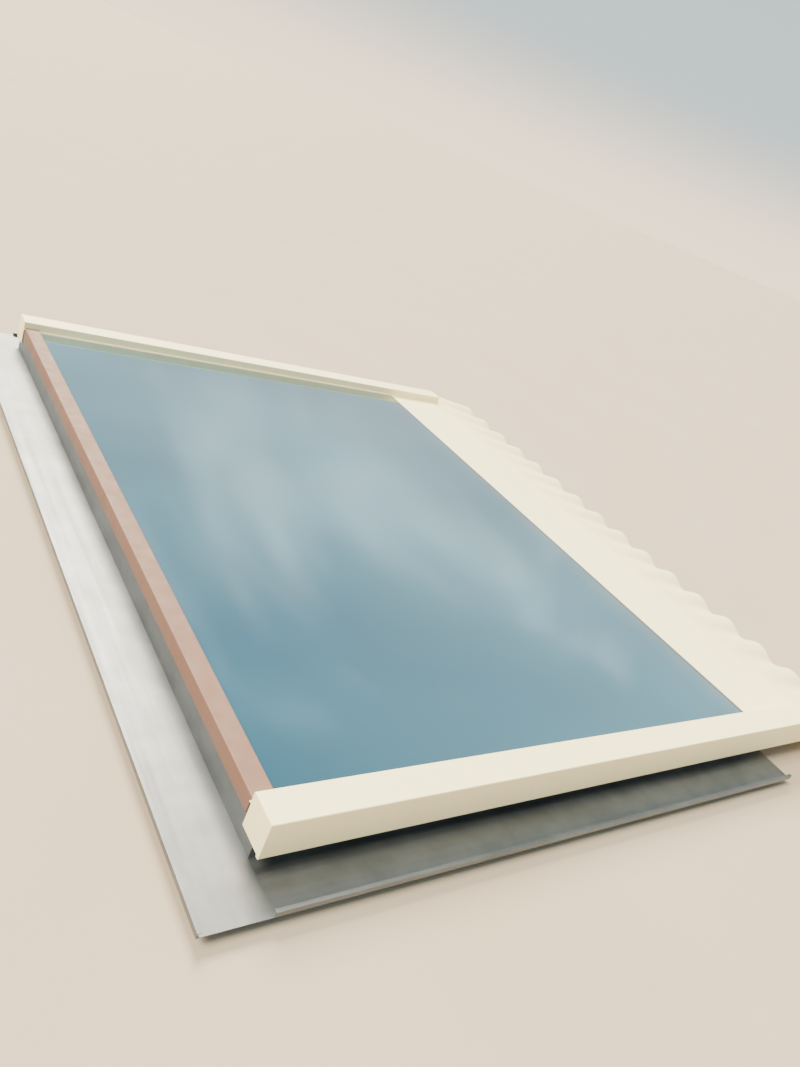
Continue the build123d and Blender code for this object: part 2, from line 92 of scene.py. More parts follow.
def linear(hex_colour: str) -> Colour:
    """Turn an sRGB hex colour into linear light by the sRGB curve.

    Args:
        hex_colour: Six hex digits, such as "F0E9D2".

    Returns:
        Red, green and blue from 0 to 1, with an alpha of 1.
    """
    channels = [int(hex_colour[at:at + 2], 16) / 255 for at in (0, 2, 4)]
    light = [c / 12.92 if c <= 0.04045 else ((c + 0.055) / 1.055) ** 2.4 for c in channels]
    return (light[0], light[1], light[2], 1.0)


def feed(tree: Tree, node: bpy.types.Node, inputs: Mapping[str | int, object]) -> None:
    """Set or link a node's inputs.

    Args:
        tree: The node's tree.
        node: The node.
        inputs: Input name or number to a value, or to the output socket that feeds it.
    """
    for key, value in inputs.items():
        if isinstance(value, Socket):
            tree.links.new(value, node.inputs[key])
        else:
            node.inputs[key].default_value = value


def add_node(
    tree: Tree, kind: str, inputs: Mapping[str | int, object] | None = None, **settings: object,
) -> bpy.types.Node:
    """Add a node, set it and link it.

    Args:
        tree: The node tree that takes the node.
        kind: Blender's type name of the node.
        inputs: What its inputs take, as in feed.
        **settings: Properties of the node itself.

    Returns:
        The new node.
    """
    node = tree.nodes.new(kind)
    for name, value in settings.items():
        setattr(node, name, value)
    feed(tree, node, inputs or {})
    return node


def pattern(tree: Tree, stretch: Stretch = EVEN) -> Socket:
    """Give object coordinates in metres, stretched where a pattern runs one way.

    Args:
        tree: The material's node tree.
        stretch: Scale along X, Y and Z; a small value makes the pattern long that way.

    Returns:
        The vector socket.
    """
    place = add_node(tree, "ShaderNodeTexCoord").outputs["Object"]
    return add_node(tree, "ShaderNodeMapping", {"Vector": place, "Scale": stretch}).outputs["Vector"]


def grain(tree: Tree, size_mm: float, span: Range, stretch: Stretch = EVEN, detail: float = 3.0) -> Socket:
    """Give soft noise of a real size, spread over a range of values.

    Args:
        tree: The material's node tree.
        size_mm: Size of one patch of the noise in millimetres.
        span: Values of the lowest and the highest patches.
        stretch: Scale along the axes, as in pattern.
        detail: Finer octaves on top of the patches.

    Returns:
        The value socket.
    """
    soft = add_node(tree, "ShaderNodeTexNoise", {
        "Vector": pattern(tree, stretch), "Scale": 1 / (size_mm * MM), "Detail": detail,
    })
    spread = add_node(tree, "ShaderNodeMapRange", {
        "Value": soft.outputs["Fac"], "From Min": NOISE_SPAN[0], "From Max": NOISE_SPAN[1],
        "To Min": span[0], "To Max": span[1],
    })
    return spread.outputs["Result"]


def mottle(
    tree: Tree, ground: Colour | Socket, patches: Colour, size_mm: float, most: float, detail: float = 3.0,
) -> Socket:
    """Lay soft patches of one colour over another.

    Args:
        tree: The material's node tree.
        ground: Colour or colour socket that lies below.
        patches: Colour of the patches.
        size_mm: Size of a patch in millimetres.
        most: Share of the patches' colour in the densest patch.
        detail: Finer octaves, as in grain.

    Returns:
        The colour socket.
    """
    mixed = add_node(tree, "ShaderNodeMix", {
        MIX_SHARE: grain(tree, size_mm, (0.0, most), detail=detail), MIX_FIRST: ground, MIX_SECOND: patches,
    }, data_type="RGBA")
    return mixed.outputs[MIX_COLOUR]


def bumps(
    tree: Tree, size_mm: float, depth_mm: float, stretch: Stretch = EVEN, detail: float = 3.0,
) -> Socket:
    """Roughen a surface with grain of a real size and depth.

    Args:
        tree: The material's node tree.
        size_mm: Size of one bump in millimetres.
        depth_mm: Height of the highest bumps in millimetres.
        stretch: Scale along the axes, as in pattern.
        detail: Finer octaves, as in grain.

    Returns:
        The normal socket.
    """
    height = grain(tree, size_mm, (0.0, 1.0), stretch, detail)
    return add_node(tree, "ShaderNodeBump", {"Height": height, "Distance": depth_mm * MM}).outputs["Normal"]


@dataclass(frozen=True)
class Finish(ABC):
    """A surface: a real material and how it was made.

    Attributes:
        name: Name of the material in Blender.
        colour: Its main colour as sRGB hex.
    """

    name: str
    colour: str

    def material(self) -> bpy.types.Material:
        """Build the material once and give it again afterwards.

        Returns:
            The material.
        """
        ready = bpy.data.materials.get(self.name)
        if ready:
            return ready
        made = bpy.data.materials.new(self.name)
        made.use_nodes = True
        tree = made.node_tree
        tree.nodes.clear()
        shader = add_node(tree, "ShaderNodeBsdfPrincipled")
        add_node(tree, "ShaderNodeOutputMaterial", {"Surface": shader.outputs["BSDF"]})
        self.dress(tree, shader)
        return made

    @abstractmethod
    def dress(self, tree: Tree, shader: Shader) -> None:
        """Give the shader its colour, gloss and relief.

        Args:
            tree: The material's node tree.
            shader: Its Principled shader.
        """


@dataclass(frozen=True)
class PowderCoat(Finish):
    """Polyester powder baked on aluminium sheet.

    The powder flows into a faint orange peel and a satin sheen. Years of rain leave broad soft patches
    of chalking and a thin film of dust, so the sheen is uneven while the colour stays nearly even.
    """

    dust: str = "DACDA0"
    chalk_mm: float = 380.0
    chalk_share: float = 0.22
    speck_mm: float = 9.0
    speck_share: float = 0.10
    sheen_mm: float = 45.0
    roughness: Range = (0.42, 0.58)
    peel_mm: float = 3.5      # real peel is 1.5 to 2 mm; it is drawn coarser so that it shows
    peel_depth_mm: float = 0.03
    ior: float = 1.48

    def dress(self, tree: Tree, shader: Shader) -> None:
        """Set the coat's colour, chalking, sheen and orange peel.

        Args:
            tree: The material's node tree.
            shader: Its Principled shader.
        """
        dust = linear(self.dust)
        chalked = mottle(tree, linear(self.colour), dust, self.chalk_mm, self.chalk_share, detail=4.0)
        feed(tree, shader, {
            "Base Color": mottle(tree, chalked, dust, self.speck_mm, self.speck_share, detail=2.0),
            "Roughness": grain(tree, self.sheen_mm, self.roughness),
            "Normal": bumps(tree, self.peel_mm, self.peel_depth_mm, detail=1.0),
            "IOR": self.ior,
        })


@dataclass(frozen=True)
class SolarGlass(Finish):
    """Toughened float glass with a hard solar-control coat.

    The metal-oxide coat mirrors about half of the light with a blue-grey tint, and the glass below it is
    blue-green. Toughening rollers leave a slight wave, and dried rain a faint film. Water that stands at
    the sill edge leaves silt, and fired enamel hides the edge seal where no bar covers it.
    """

    body: str = "8CAFBD"
    tint_mm: float = 900.0    # size of the patches in which the coat's and the glass's tints alternate
    tint_share: float = 0.6
    mirror: float = 0.72
    ior: float = 1.52
    oxide_ior: float = 2.0    # tin oxide outside gives a brighter, untinted reflection at a flat angle
    oxide_roughness: float = 0.01
    wave_mm: float = 520.0    # from crest to crest
    wave_wander: float = 0.6
    wave_depth_mm: float = 0.12
    film_mm: float = 850.0    # size of the patches of dried rain and dust
    film_run: Stretch = (1.0, 0.45, 1.0)
    open_share: Range = (0.55, 0.85)    # share of the pane that the film leaves clear
    streak_mm: float = 120.0
    streak_run: Stretch = (1.0, 0.35, 1.0)
    roughness: Range = (0.015, 0.06)
    sill_y: float = PANE_LOW.y
    silt: str = "C6CAC0"
    silt_mm: float = 130.0    # how far up from the sill edge it reaches
    silt_share: float = 0.45
    silt_patch_mm: float = 60.0
    silt_patches: Range = (0.5, 1.2)
    enamel: str = "40392F"
    enamel_mm: float = 10.0
    enamel_edge_mm: float = 0.8

    def dress(self, tree: Tree, shader: Shader) -> None:
        """Set the tint, the coat, the roller wave, the film and the enamel edge.

        Args:
            tree: The material's node tree.
            shader: Its Principled shader.
        """
        y = add_node(tree, "ShaderNodeSeparateXYZ", {"Vector": pattern(tree)}).outputs["Y"]
        glass_start = (self.sill_y + self.enamel_mm) * MM
        clear = add_node(tree, "ShaderNodeMapRange", {
            "Value": y, "From Min": glass_start, "From Max": glass_start + self.enamel_edge_mm * MM,
        }).outputs["Result"]
        coat = add_node(tree, "ShaderNodeMath", {0: clear, 1: self.mirror}, operation="MULTIPLY")
        film = grain(tree, self.film_mm, self.open_share, self.film_run, detail=2.0)
        seen_through = add_node(tree, "ShaderNodeMath", {0: clear, 1: film}, operation="MULTIPLY")
        wave = add_node(tree, "ShaderNodeTexWave", {
            "Vector": pattern(tree), "Scale": WAVE_LENGTH / (self.wave_mm * MM),
            "Distortion": self.wave_wander,
        }, bands_direction="Y")
        rolled = add_node(tree, "ShaderNodeBump", {
            "Height": wave.outputs["Fac"], "Distance": self.wave_depth_mm * MM,
        })
        edged = add_node(tree, "ShaderNodeMix", {
            MIX_SHARE: clear, MIX_FIRST: linear(self.enamel), MIX_SECOND: self.silted(tree, y, glass_start),
        }, data_type="RGBA")
        feed(tree, shader, {
            "Base Color": edged.outputs[MIX_COLOUR],
            "Metallic": coat.outputs[0],
            "Transmission Weight": seen_through.outputs[0],
            "Roughness": grain(tree, self.streak_mm, self.roughness, self.streak_run),
            "Normal": rolled.outputs["Normal"],
            "IOR": self.ior,
            "Coat Weight": 1.0,
            "Coat IOR": self.oxide_ior,
            "Coat Roughness": self.oxide_roughness,
        })

    def silted(self, tree: Tree, y: Socket, glass_start: float) -> Socket:
        """Tint the glass and lay the silt on it.

        Args:
            tree: The material's node tree.
            y: Place along the slope in metres.
            glass_start: Where the enamel ends, in metres.

        Returns:
            The colour socket.
        """
        low_down = add_node(tree, "ShaderNodeMapRange", {
            "Value": y, "From Min": glass_start, "From Max": glass_start + self.silt_mm * MM,
            "To Min": self.silt_share, "To Max": 0.0,
        }, interpolation_type="SMOOTHSTEP")
        uneven = add_node(tree, "ShaderNodeMath", {
            0: low_down.outputs["Result"], 1: grain(tree, self.silt_patch_mm, self.silt_patches),
        }, operation="MULTIPLY")
        coat, body = linear(self.colour), linear(self.body)
        tint = mottle(tree, coat, body, self.tint_mm, self.tint_share, detail=1.0)
        silted = add_node(tree, "ShaderNodeMix", {
            MIX_SHARE: uneven.outputs[0], MIX_FIRST: tint, MIX_SECOND: linear(self.silt),
        }, data_type="RGBA")
        return silted.outputs[MIX_COLOUR]


@dataclass(frozen=True)
class ClearGlass(Finish):
    """Float glass of the laminated inner pane: nearly clear, with the faint green of iron and some ream."""

    bleached: str = "FFFFFF"
    ream_mm: float = 600.0
    ream_share: float = 0.5
    haze_mm: float = 200.0
    roughness: Range = (0.0, 0.02)
    ior: float = 1.5

    def dress(self, tree: Tree, shader: Shader) -> None:
        """Set a clear body with a trace of ream.

        Args:
            tree: The material's node tree.
            shader: Its Principled shader.
        """
        body, pale = linear(self.colour), linear(self.bleached)
        feed(tree, shader, {
            "Base Color": mottle(tree, body, pale, self.ream_mm, self.ream_share, detail=1.0),
            "Roughness": grain(tree, self.haze_mm, self.roughness),
            "Transmission Weight": 1.0,
            "IOR": self.ior,
        })


@dataclass(frozen=True)
class Rubber(Finish):
    """Gaskets, sealants and foam: matt, with fine lines from extrusion or pores from foaming."""

    bloom: str = "6A6A66"     # wax and dust that come to the surface
    bloom_mm: float = 30.0
    bloom_share: float = 0.14
    sheen_mm: float = 12.0
    roughness: Range = (0.62, 0.8)
    lines_mm: float = 1.2
    along: Stretch = EVEN
    depth_mm: float = 0.08
    ior: float = 1.5

    def dress(self, tree: Tree, shader: Shader) -> None:
        """Set the matt body, its bloom and its lines or pores.

        Args:
            tree: The material's node tree.
            shader: Its Principled shader.
        """
        body, bloom = linear(self.colour), linear(self.bloom)
        feed(tree, shader, {
            "Base Color": mottle(tree, body, bloom, self.bloom_mm, self.bloom_share, detail=4.0),
            "Roughness": grain(tree, self.sheen_mm, self.roughness),
            "Normal": bumps(tree, self.lines_mm, self.depth_mm, self.along, detail=1.0),
            "IOR": self.ior,
        })


@dataclass(frozen=True)
class BareMetal(Finish):
    """Aluminium or stainless steel without paint.

    Rolling or drawing leaves fine lines one way, and the oxide skin makes the sheen cloudy.
    """

    cloud: str = "8E9092"
    cloud_mm: float = 90.0
    cloud_share: float = 0.55
    sheen_mm: float = 25.0
    roughness: Range = (0.3, 0.46)
    along: Stretch = EVEN
    lines_mm: float = 2.0     # mill lines are finer; they are drawn this coarse so that they show
    line_depth_mm: float = 0.02

    def dress(self, tree: Tree, shader: Shader) -> None:
        """Set the metal, its clouds of oxide and its rolling lines.

        Args:
            tree: The material's node tree.
            shader: Its Principled shader.
        """
        bright, cloud = linear(self.colour), linear(self.cloud)
        feed(tree, shader, {
            "Base Color": mottle(tree, bright, cloud, self.cloud_mm, self.cloud_share, detail=5.0),
            "Metallic": 1.0,
            "Roughness": grain(tree, self.sheen_mm, self.roughness, self.along),
            "Normal": bumps(tree, self.lines_mm, self.line_depth_mm, self.along, detail=2.0),
        })


@dataclass(frozen=True)
class Moulding(Finish):
    """Moulded or extruded engineering plastic, matt, with short glass fibres that speckle its skin."""

    fleck: str = "5A5A58"
    fleck_mm: float = 1.5
    fleck_share: float = 0.3
    sheen_mm: float = 8.0
    roughness: Range = (0.45, 0.6)
    pore_mm: float = 2.5
    pore_depth_mm: float = 0.03
    ior: float = 1.53

    def dress(self, tree: Tree, shader: Shader) -> None:
        """Set the plastic and its fibre speckle.

        Args:
            tree: The material's node tree.
            shader: Its Principled shader.
        """
        body, fleck = linear(self.colour), linear(self.fleck)
        feed(tree, shader, {
            "Base Color": mottle(tree, body, fleck, self.fleck_mm, self.fleck_share, detail=2.0),
            "Roughness": grain(tree, self.sheen_mm, self.roughness),
            "Normal": bumps(tree, self.pore_mm, self.pore_depth_mm),
            "IOR": self.ior,
        })


@dataclass(frozen=True)
class PaintedBoard(Finish):
    """The studio floor: board rolled with matt paint, a little uneven in tone."""

    fleck: str = "CBCAC5"
    fleck_mm: float = 700.0
    fleck_share: float = 0.06
    roughness: float = 0.85

    def dress(self, tree: Tree, shader: Shader) -> None:
        """Set the paint and its slight unevenness.

        Args:
            tree: The material's node tree.
            shader: Its Principled shader.
        """
        paint, fleck = linear(self.colour), linear(self.fleck)
        feed(tree, shader, {
            "Base Color": mottle(tree, paint, fleck, self.fleck_mm, self.fleck_share),
            "Roughness": self.roughness,
        })


class Coat(Enum):
    """The powder-coated and coil-coated finishes."""

    # warm cream with a satin sheen, on the cappings and the apron
    CREAM = PowderCoat("cream_powder_coat", "FBEDBE")
    # dull brownish red of the head cover, coated on the coil and so more matt
    TERRACOTTA = PowderCoat("terracotta_coil_coat", "704F41", dust="7D695C", roughness=(0.55, 0.7))
    # light stone of the kerb, which shows from below
    KERB = PowderCoat("stone_powder_coat", "D2CCBC", dust="B9B2A2")


class Pane(Enum):
    """The sheets of the sealed unit."""

    # blue-grey mirror over a blue-green body
    OUTER = SolarGlass("solar_control_glass", "7EB4CA")
    # clear, green only at its edges
    INNER = ClearGlass("clear_float_glass", "DCEBE4")
    # the soft sheet between the inner plies, a shade yellower than the glass
    FILM = ClearGlass("laminating_film", "EEF2EC")


class Soft(Enum):
    """Gaskets, sealants and foam."""

    # black rubber with its lines along the slope, below the pressure plates at the sides
    GASKET_ALONG_Y = Rubber("extruded_epdm_along_slope", "121212", along=(1.0, 0.02, 1.0))
    # the same with its lines across the slope, below the head cover
    GASKET_ALONG_X = Rubber("extruded_epdm_across_slope", "141414", along=(0.02, 1.0, 1.0))
    # the same without a direction, for the seat that runs all round
    GASKET = Rubber("extruded_epdm", "121212")
    # light grey rubber of the lips, dusty
    LIP = Rubber("grey_lip_gasket", "BDB9A8", bloom="CBC7B8", along=(1.0, 0.02, 1.0))
    # black and lumpy, as it comes from the nozzle
    EDGE_SEAL = Rubber("black_edge_sealant", "0C0C0C", lines_mm=6.0, depth_mm=0.2)
    # grey, smoother and glossier than rubber, with the ripples of the tool
    SILICONE = Rubber("tooled_grey_silicone", "9C998A", bloom="B3AF9F", roughness=(0.38, 0.55),
                      lines_mm=14.0, depth_mm=0.15)
    # grey and quite matt, with open pores where it was cut
    FOAM = Rubber("closed_cell_foam", "9A9A98", roughness=(0.8, 0.95), lines_mm=1.5, depth_mm=0.3)


class Metal(Enum):
    """Unpainted metals."""

    # dulled aluminium sheet, rolled along the slope
    TRAY = BareMetal("mill_finish_aluminium_along_slope", "85888B", cloud="696B6E", roughness=(0.42, 0.56),
                     along=(1.0, 0.03, 1.0))
    # the same sheet, rolled across the slope
    GUTTER = BareMetal("mill_finish_aluminium", "85888B", cloud="696B6E", roughness=(0.42, 0.56),
                       along=(0.03, 1.0, 1.0))
    # bright thin strip of the spacer
    SPACER = BareMetal("rolled_spacer_aluminium", "B4B6B8", lines_mm=3.0)
    # coarse, dull skin of a casting
    CLEAT = BareMetal("die_cast_aluminium", "A2A2A2", roughness=(0.45, 0.62), lines_mm=5.0)
    # bright and slightly warm
    STAINLESS = BareMetal("stainless_spring_steel", "C4C0BA", roughness=(0.22, 0.34))


class Plastic(Enum):
    """Moulded and extruded plastics."""

    # dark green blocks that carry the glass
    BLOCK = Moulding("green_setting_block", "24543A", fleck="2F6648")
    # black strips that keep the cold out of the kerb
    BREAK = Moulding("glass_filled_polyamide", "1A1A1A")


def dress_nodes(finish: Finish, names: Iterable[str]) -> None:
    """Give CAD nodes their finish.

    Args:
        finish: The finish that they share.
        names: The nodes' names in the frame.
    """
    for name in names:
        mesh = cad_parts[name].data
        mesh.materials.clear()
        mesh.materials.append(finish.material())
        LOG.info("%s wears %s", name, finish.name)


def add_piece(name: str, mesh: Mesh, finish: Finish, replaces: Sequence[str] = ()) -> None:
    """Put a finished bmesh into the scene as a piece of the skylight.

    Args:
        name: The piece's name.
        mesh: Its shape in metres, in the frame of the CAD model.
        finish: Its surface.
        replaces: CAD nodes that it stands for.
    """
    for edge in mesh.edges:
        edge.smooth = len(edge.link_faces) == 2 and edge.calc_face_angle(0) < SMOOTH_BELOW
    for face in mesh.faces:
        face.smooth = True
    data = bpy.data.meshes.new(name)
    mesh.to_mesh(data)
    mesh.free()
    data.materials.append(finish.material())
    piece = bpy.data.objects.new(name, data)
    bpy.context.scene.collection.objects.link(piece)
    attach(piece, "root")
    if replaces:
        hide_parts(*replaces)
    LOG.info("%s has %d faces", name, len(data.polygons))


def grid_over(x_steps: int, y_steps: int, place: Callable[[float, float], Vector]) -> Mesh:
    """Make a grid and lay each of its points on a surface.

    Args:
        x_steps: Faces along the first direction.
        y_steps: Faces along the second direction.
        place: Gives the point of the surface for two shares from 0 to 1.

    Returns:
        The laid grid, facing up where place keeps the directions.
    """
    sheet = bmesh.new()
    bmesh.ops.create_grid(sheet, x_segments=x_steps, y_segments=y_steps, size=0.5)
    low = min(v.co.x for v in sheet.verts)
    span = max(v.co.x for v in sheet.verts) - low
    for v in sheet.verts:
        v.co = place((v.co.x - low) / span, (v.co.y - low) / span)
    return sheet


def fill_down(skin: Mesh, floor_z: float) -> None:
    """Make a skin the top of a solid with a flat underside.

    Args:
        skin: The open skin.
        floor_z: Height of the underside in millimetres.
    """
    made = bmesh.ops.extrude_face_region(skin, geom=skin.faces[:])["geom"]
    for v in (g for g in made if isinstance(g, bmesh.types.BMVert)):
        v.co.z = floor_z * MM
    bmesh.ops.recalc_face_normals(skin, faces=skin.faces)


@dataclass
class SillApron:
    """The apron: one sheet with a hem in the joint, turned-up sides and a skirt dressed into rolls.

    The skirt is shaped as a soft sheet takes it: the fold is round, and each roll grows smoothly out of
    the flat. Sizes are in millimetres, and the outline is that of the CAD node that it stands for.
    """

    sheet: float = 2.0
    bend: float = 2.5
    bend_steps: int = 3
    top_z: float = PANE_HIGH.z
    joint_y: float = APRON_HIGH.y
    hem: float = 16.0
    tongue: float = 26.0              # length of the narrow part that reaches the joint
    narrow: float = JOINT_HIGH.x      # half the tongue's width
    cap_inset: float = 9.0            # from a capping's outer face to the turned-up side below it
    upstand_end_y: float = CLAMPED_FROM_Y
    upstand_top: float = APRON_HIGH.z - 1.0    # inside the CAD node's by half a sheet
    fold_gap: float = 10.0            # from the end of the turned-up sides to the fold of the skirt
    fold_sag: float = 0.868           # the fold lies this much below the flat
    fold_width: float = 22.0          # and is round over this width
    edge_y: float = APRON_LOW.y
    drop: float = 62.0                # fall of the skirt's mean line
    pitch: float = 186.0              # from one roll to the next
    crown_share: float = 0.6          # share of the pitch that is a roll; the rest is a valley
    crowns: int = 17
    steepness: float = 0.17           # rise of a roll or fall of a valley, for one unit of its width
    dent: float = 0.5                 # depth of the marks of the hand
    dent_size: float = 55.0
    dent_row: float = 3.0             # which row of the noise they follow
    dent_onset: float = 3.0           # they are as deep as elsewhere from a third of the skirt on
    steps_a_roll: int = 10
    rows: int = 64
    cut_slack: float = 0.01
    merge_slack: float = 0.02
    pick_slack: float = 0.1

    @property
    def tongue_y(self) -> float:
        """Say where the tongue begins."""
        return self.joint_y - self.tongue

    @property
    def fold_y(self) -> float:
        """Say where the skirt's fold lies."""
        return self.upstand_end_y - self.fold_gap

    @property
    def wide(self) -> float:
        """Say how far from the middle the turned-up sides stand."""
        return CAP_HIGH.x - self.cap_inset

    def roll(self, share: float) -> Range:
        """Find where a share of the sheet's width lies and how far its roll lifts it there.

        Args:
            share: Share of the width from 0 to 1.

        Returns:
            The place across the slope and the lift at the dressed edge, in millimetres.
        """
        crown = self.pitch * self.crown_share
        chords = (crown, self.pitch - crown)
        width = self.crowns * chords[0] + (self.crowns - 1) * chords[1]
        count = 2 * self.crowns - 1
        index = min(int(share * count), count - 1)
        part = share * count - index
        start = (index + 1) // 2 * chords[0] + index // 2 * chords[1] - width / 2
        chord = chords[index % 2]
        sign = 1 if index % 2 == 0 else -1
        parabola = 4 * part * (1 - part)
        return start + part * chord, sign * self.steepness * chord * parabola

    def point(self, u: float, v: float) -> Vector:
        """Lay a point of the sheet.

        Args:
            u: Share of the width.
            v: Share of the way from the dressed edge to the joint.

        Returns:
            The point in metres.
        """
        x, lift = self.roll(u)
        y = self.edge_y + v * (self.joint_y - self.edge_y)
        past = max(0.0, (self.fold_y - y) / (self.fold_y - self.edge_y))
        sag = self.fold_sag * math.exp(-((y - self.fold_y) / self.fold_width) ** 2)
        mark = self.dent * noise.noise(Vector((x / self.dent_size, y / self.dent_size, self.dent_row)))
        z = self.top_z + past * (lift - self.drop) - sag + mark * min(1.0, self.dent_onset * past)
        return Vector((x, y, z)) * MM

    def build(self) -> None:
        """Build the sheet: lay it, cut its outline, fold it, round its folds and give it its thickness."""
        sheet = grid_over((2 * self.crowns - 1) * self.steps_a_roll, self.rows, self.point)
        for x in (-self.wide, -self.narrow, self.narrow, self.wide):
            self.score(sheet, Vector((x, 0, 0)), Vector((1, 0, 0)))
        for y in (self.tongue_y, self.upstand_end_y, self.fold_y):
            self.score(sheet, Vector((0, y, 0)), Vector((0, 1, 0)))
        spare = [f for f in sheet.faces if self.is_spare(f.calc_center_median() / MM)]
        bmesh.ops.delete(sheet, geom=spare, context="FACES")
        folds = self.turn(sheet, self.on_joint, Vector((0, 0, -self.hem)))
        folds += self.turn(sheet, self.on_side, Vector((0, 0, self.upstand_top - self.top_z)))
        bmesh.ops.bevel(sheet, geom=folds, offset=self.bend * MM, affect="EDGES", segments=self.bend_steps,
                        profile=0.5, material=-1)
        bmesh.ops.remove_doubles(sheet, verts=sheet.verts, dist=self.merge_slack * MM)
        bmesh.ops.solidify(sheet, geom=sheet.faces, thickness=self.sheet * MM)
        bmesh.ops.recalc_face_normals(sheet, faces=sheet.faces)
        add_piece("dressed_apron", sheet, Coat.CREAM.value, ["sill_apron"])

    def score(self, sheet: Mesh, at: Vector, across: Vector) -> None:
        """Cut a line of edges into the sheet.

        Args:
            sheet: The sheet.
            at: A point of the line, in millimetres.
            across: The direction square to the line.
        """
        geom = [*sheet.verts, *sheet.edges, *sheet.faces]
        bmesh.ops.bisect_plane(sheet, geom=geom, plane_co=at * MM, plane_no=across, dist=self.cut_slack * MM)

    def is_spare(self, centre: Vector) -> bool:
        """Say whether a face lies outside the sheet's outline.

        Args:
            centre: The face's centre in millimetres.

        Returns:
            True where the face is cut away.
        """
        beside_plate = abs(centre.x) > self.wide and centre.y > self.fold_y
        beside_tongue = abs(centre.x) > self.narrow and centre.y > self.tongue_y
        return beside_plate or beside_tongue

    def on_joint(self, a: Vector, b: Vector) -> bool:
        """Say whether an edge is part of the fold in the glass joint."""
        return min(a.y, b.y) > self.joint_y - self.pick_slack

    def on_side(self, a: Vector, b: Vector) -> bool:
        """Say whether an edge is part of the fold of a turned-up side.

        Args:
            a: One end of the edge in millimetres.
            b: The other end.

        Returns:
            True for an edge of that fold.
        """
        off_line = max(abs(abs(a.x) - self.wide), abs(abs(b.x) - self.wide))
        from_y = self.upstand_end_y - self.pick_slack
        to_y = self.tongue_y + self.pick_slack
        return off_line < self.pick_slack and min(a.y, b.y) > from_y and max(a.y, b.y) < to_y

    def turn(self, sheet: Mesh, chosen: Callable[[Vector, Vector], bool], by: Vector) -> list[Edge]:
        """Fold a strip of sheet up or down from a line of free edges.

        Args:
            sheet: The sheet.
            chosen: Says for an edge's two ends whether it is part of the line.
            by: Which way and how far the strip goes, in millimetres.

        Returns:
            The edges of the fold.
        """
        line = [e for e in sheet.edges if e.is_boundary and chosen(*(v.co / MM for v in e.verts))]
        made = bmesh.ops.extrude_edge_only(sheet, edges=line)["geom"]
        bmesh.ops.translate(sheet, verts=[g for g in made if isinstance(g, bmesh.types.BMVert)], vec=by * MM)
        return line


@dataclass(frozen=True)
class Ripple:
    """A wave of the hand along a bead or a fin, in millimetres.

    Attributes:
        depth: Its height.
        length: How far apart its crests are.
        row: Which row of the noise it follows.
    """

    depth: float
    length: float
    row: float

    def at(self, place: float) -> float:
        """Give its height at a place along the piece."""
        return self.depth * noise.noise(Vector((place / self.length, self.row, 0.0)))


@dataclass
class SillJoint:
    """The silicone bead between the glass and the apron, tooled hollow, with the ripples of the tool.

    Sizes are in millimetres.
    """

    half_length: float = JOINT_HIGH.x
    glass_y: float = JOINT_HIGH.y
    apron_y: float = JOINT_LOW.y
    bottom_z: float = JOINT_LOW.z
    top_z: float = JOINT_HIGH.z
    below: float = 0.05       # its edges lie this far below the glass and the apron
    hollow: float = 0.9
    ripples: tuple[Ripple, ...] = (Ripple(0.12, 18.0, 0.0), Ripple(0.18, 130.0, 5.0))
    steps_along: int = 400
    steps_across: int = 6

    def point(self, u: float, v: float) -> Vector:
        """Lay a point of the bead's skin.

        Args:
            u: Share of the way along the joint.
            v: Share of the way across it, from the apron to the glass.

        Returns:
            The point in metres.
        """
        x = -self.half_length + 2 * u * self.half_length
        y = self.apron_y + v * (self.glass_y - self.apron_y)
        depth = self.hollow + sum(ripple.at(x) for ripple in self.ripples)
        z = self.top_z - self.below - depth * math.sin(math.pi * v)
        return Vector((x, y, z)) * MM

    def build(self) -> None:
        """Build the bead, and dress the foam rod below it."""
        bead = grid_over(self.steps_along, self.steps_across, self.point)
        fill_down(bead, self.bottom_z)
        dress_nodes(Soft.FOAM.value, ["backing_rod"])
        add_piece("tooled_sill_bead", bead, Soft.SILICONE.value, ["sill_seal"])


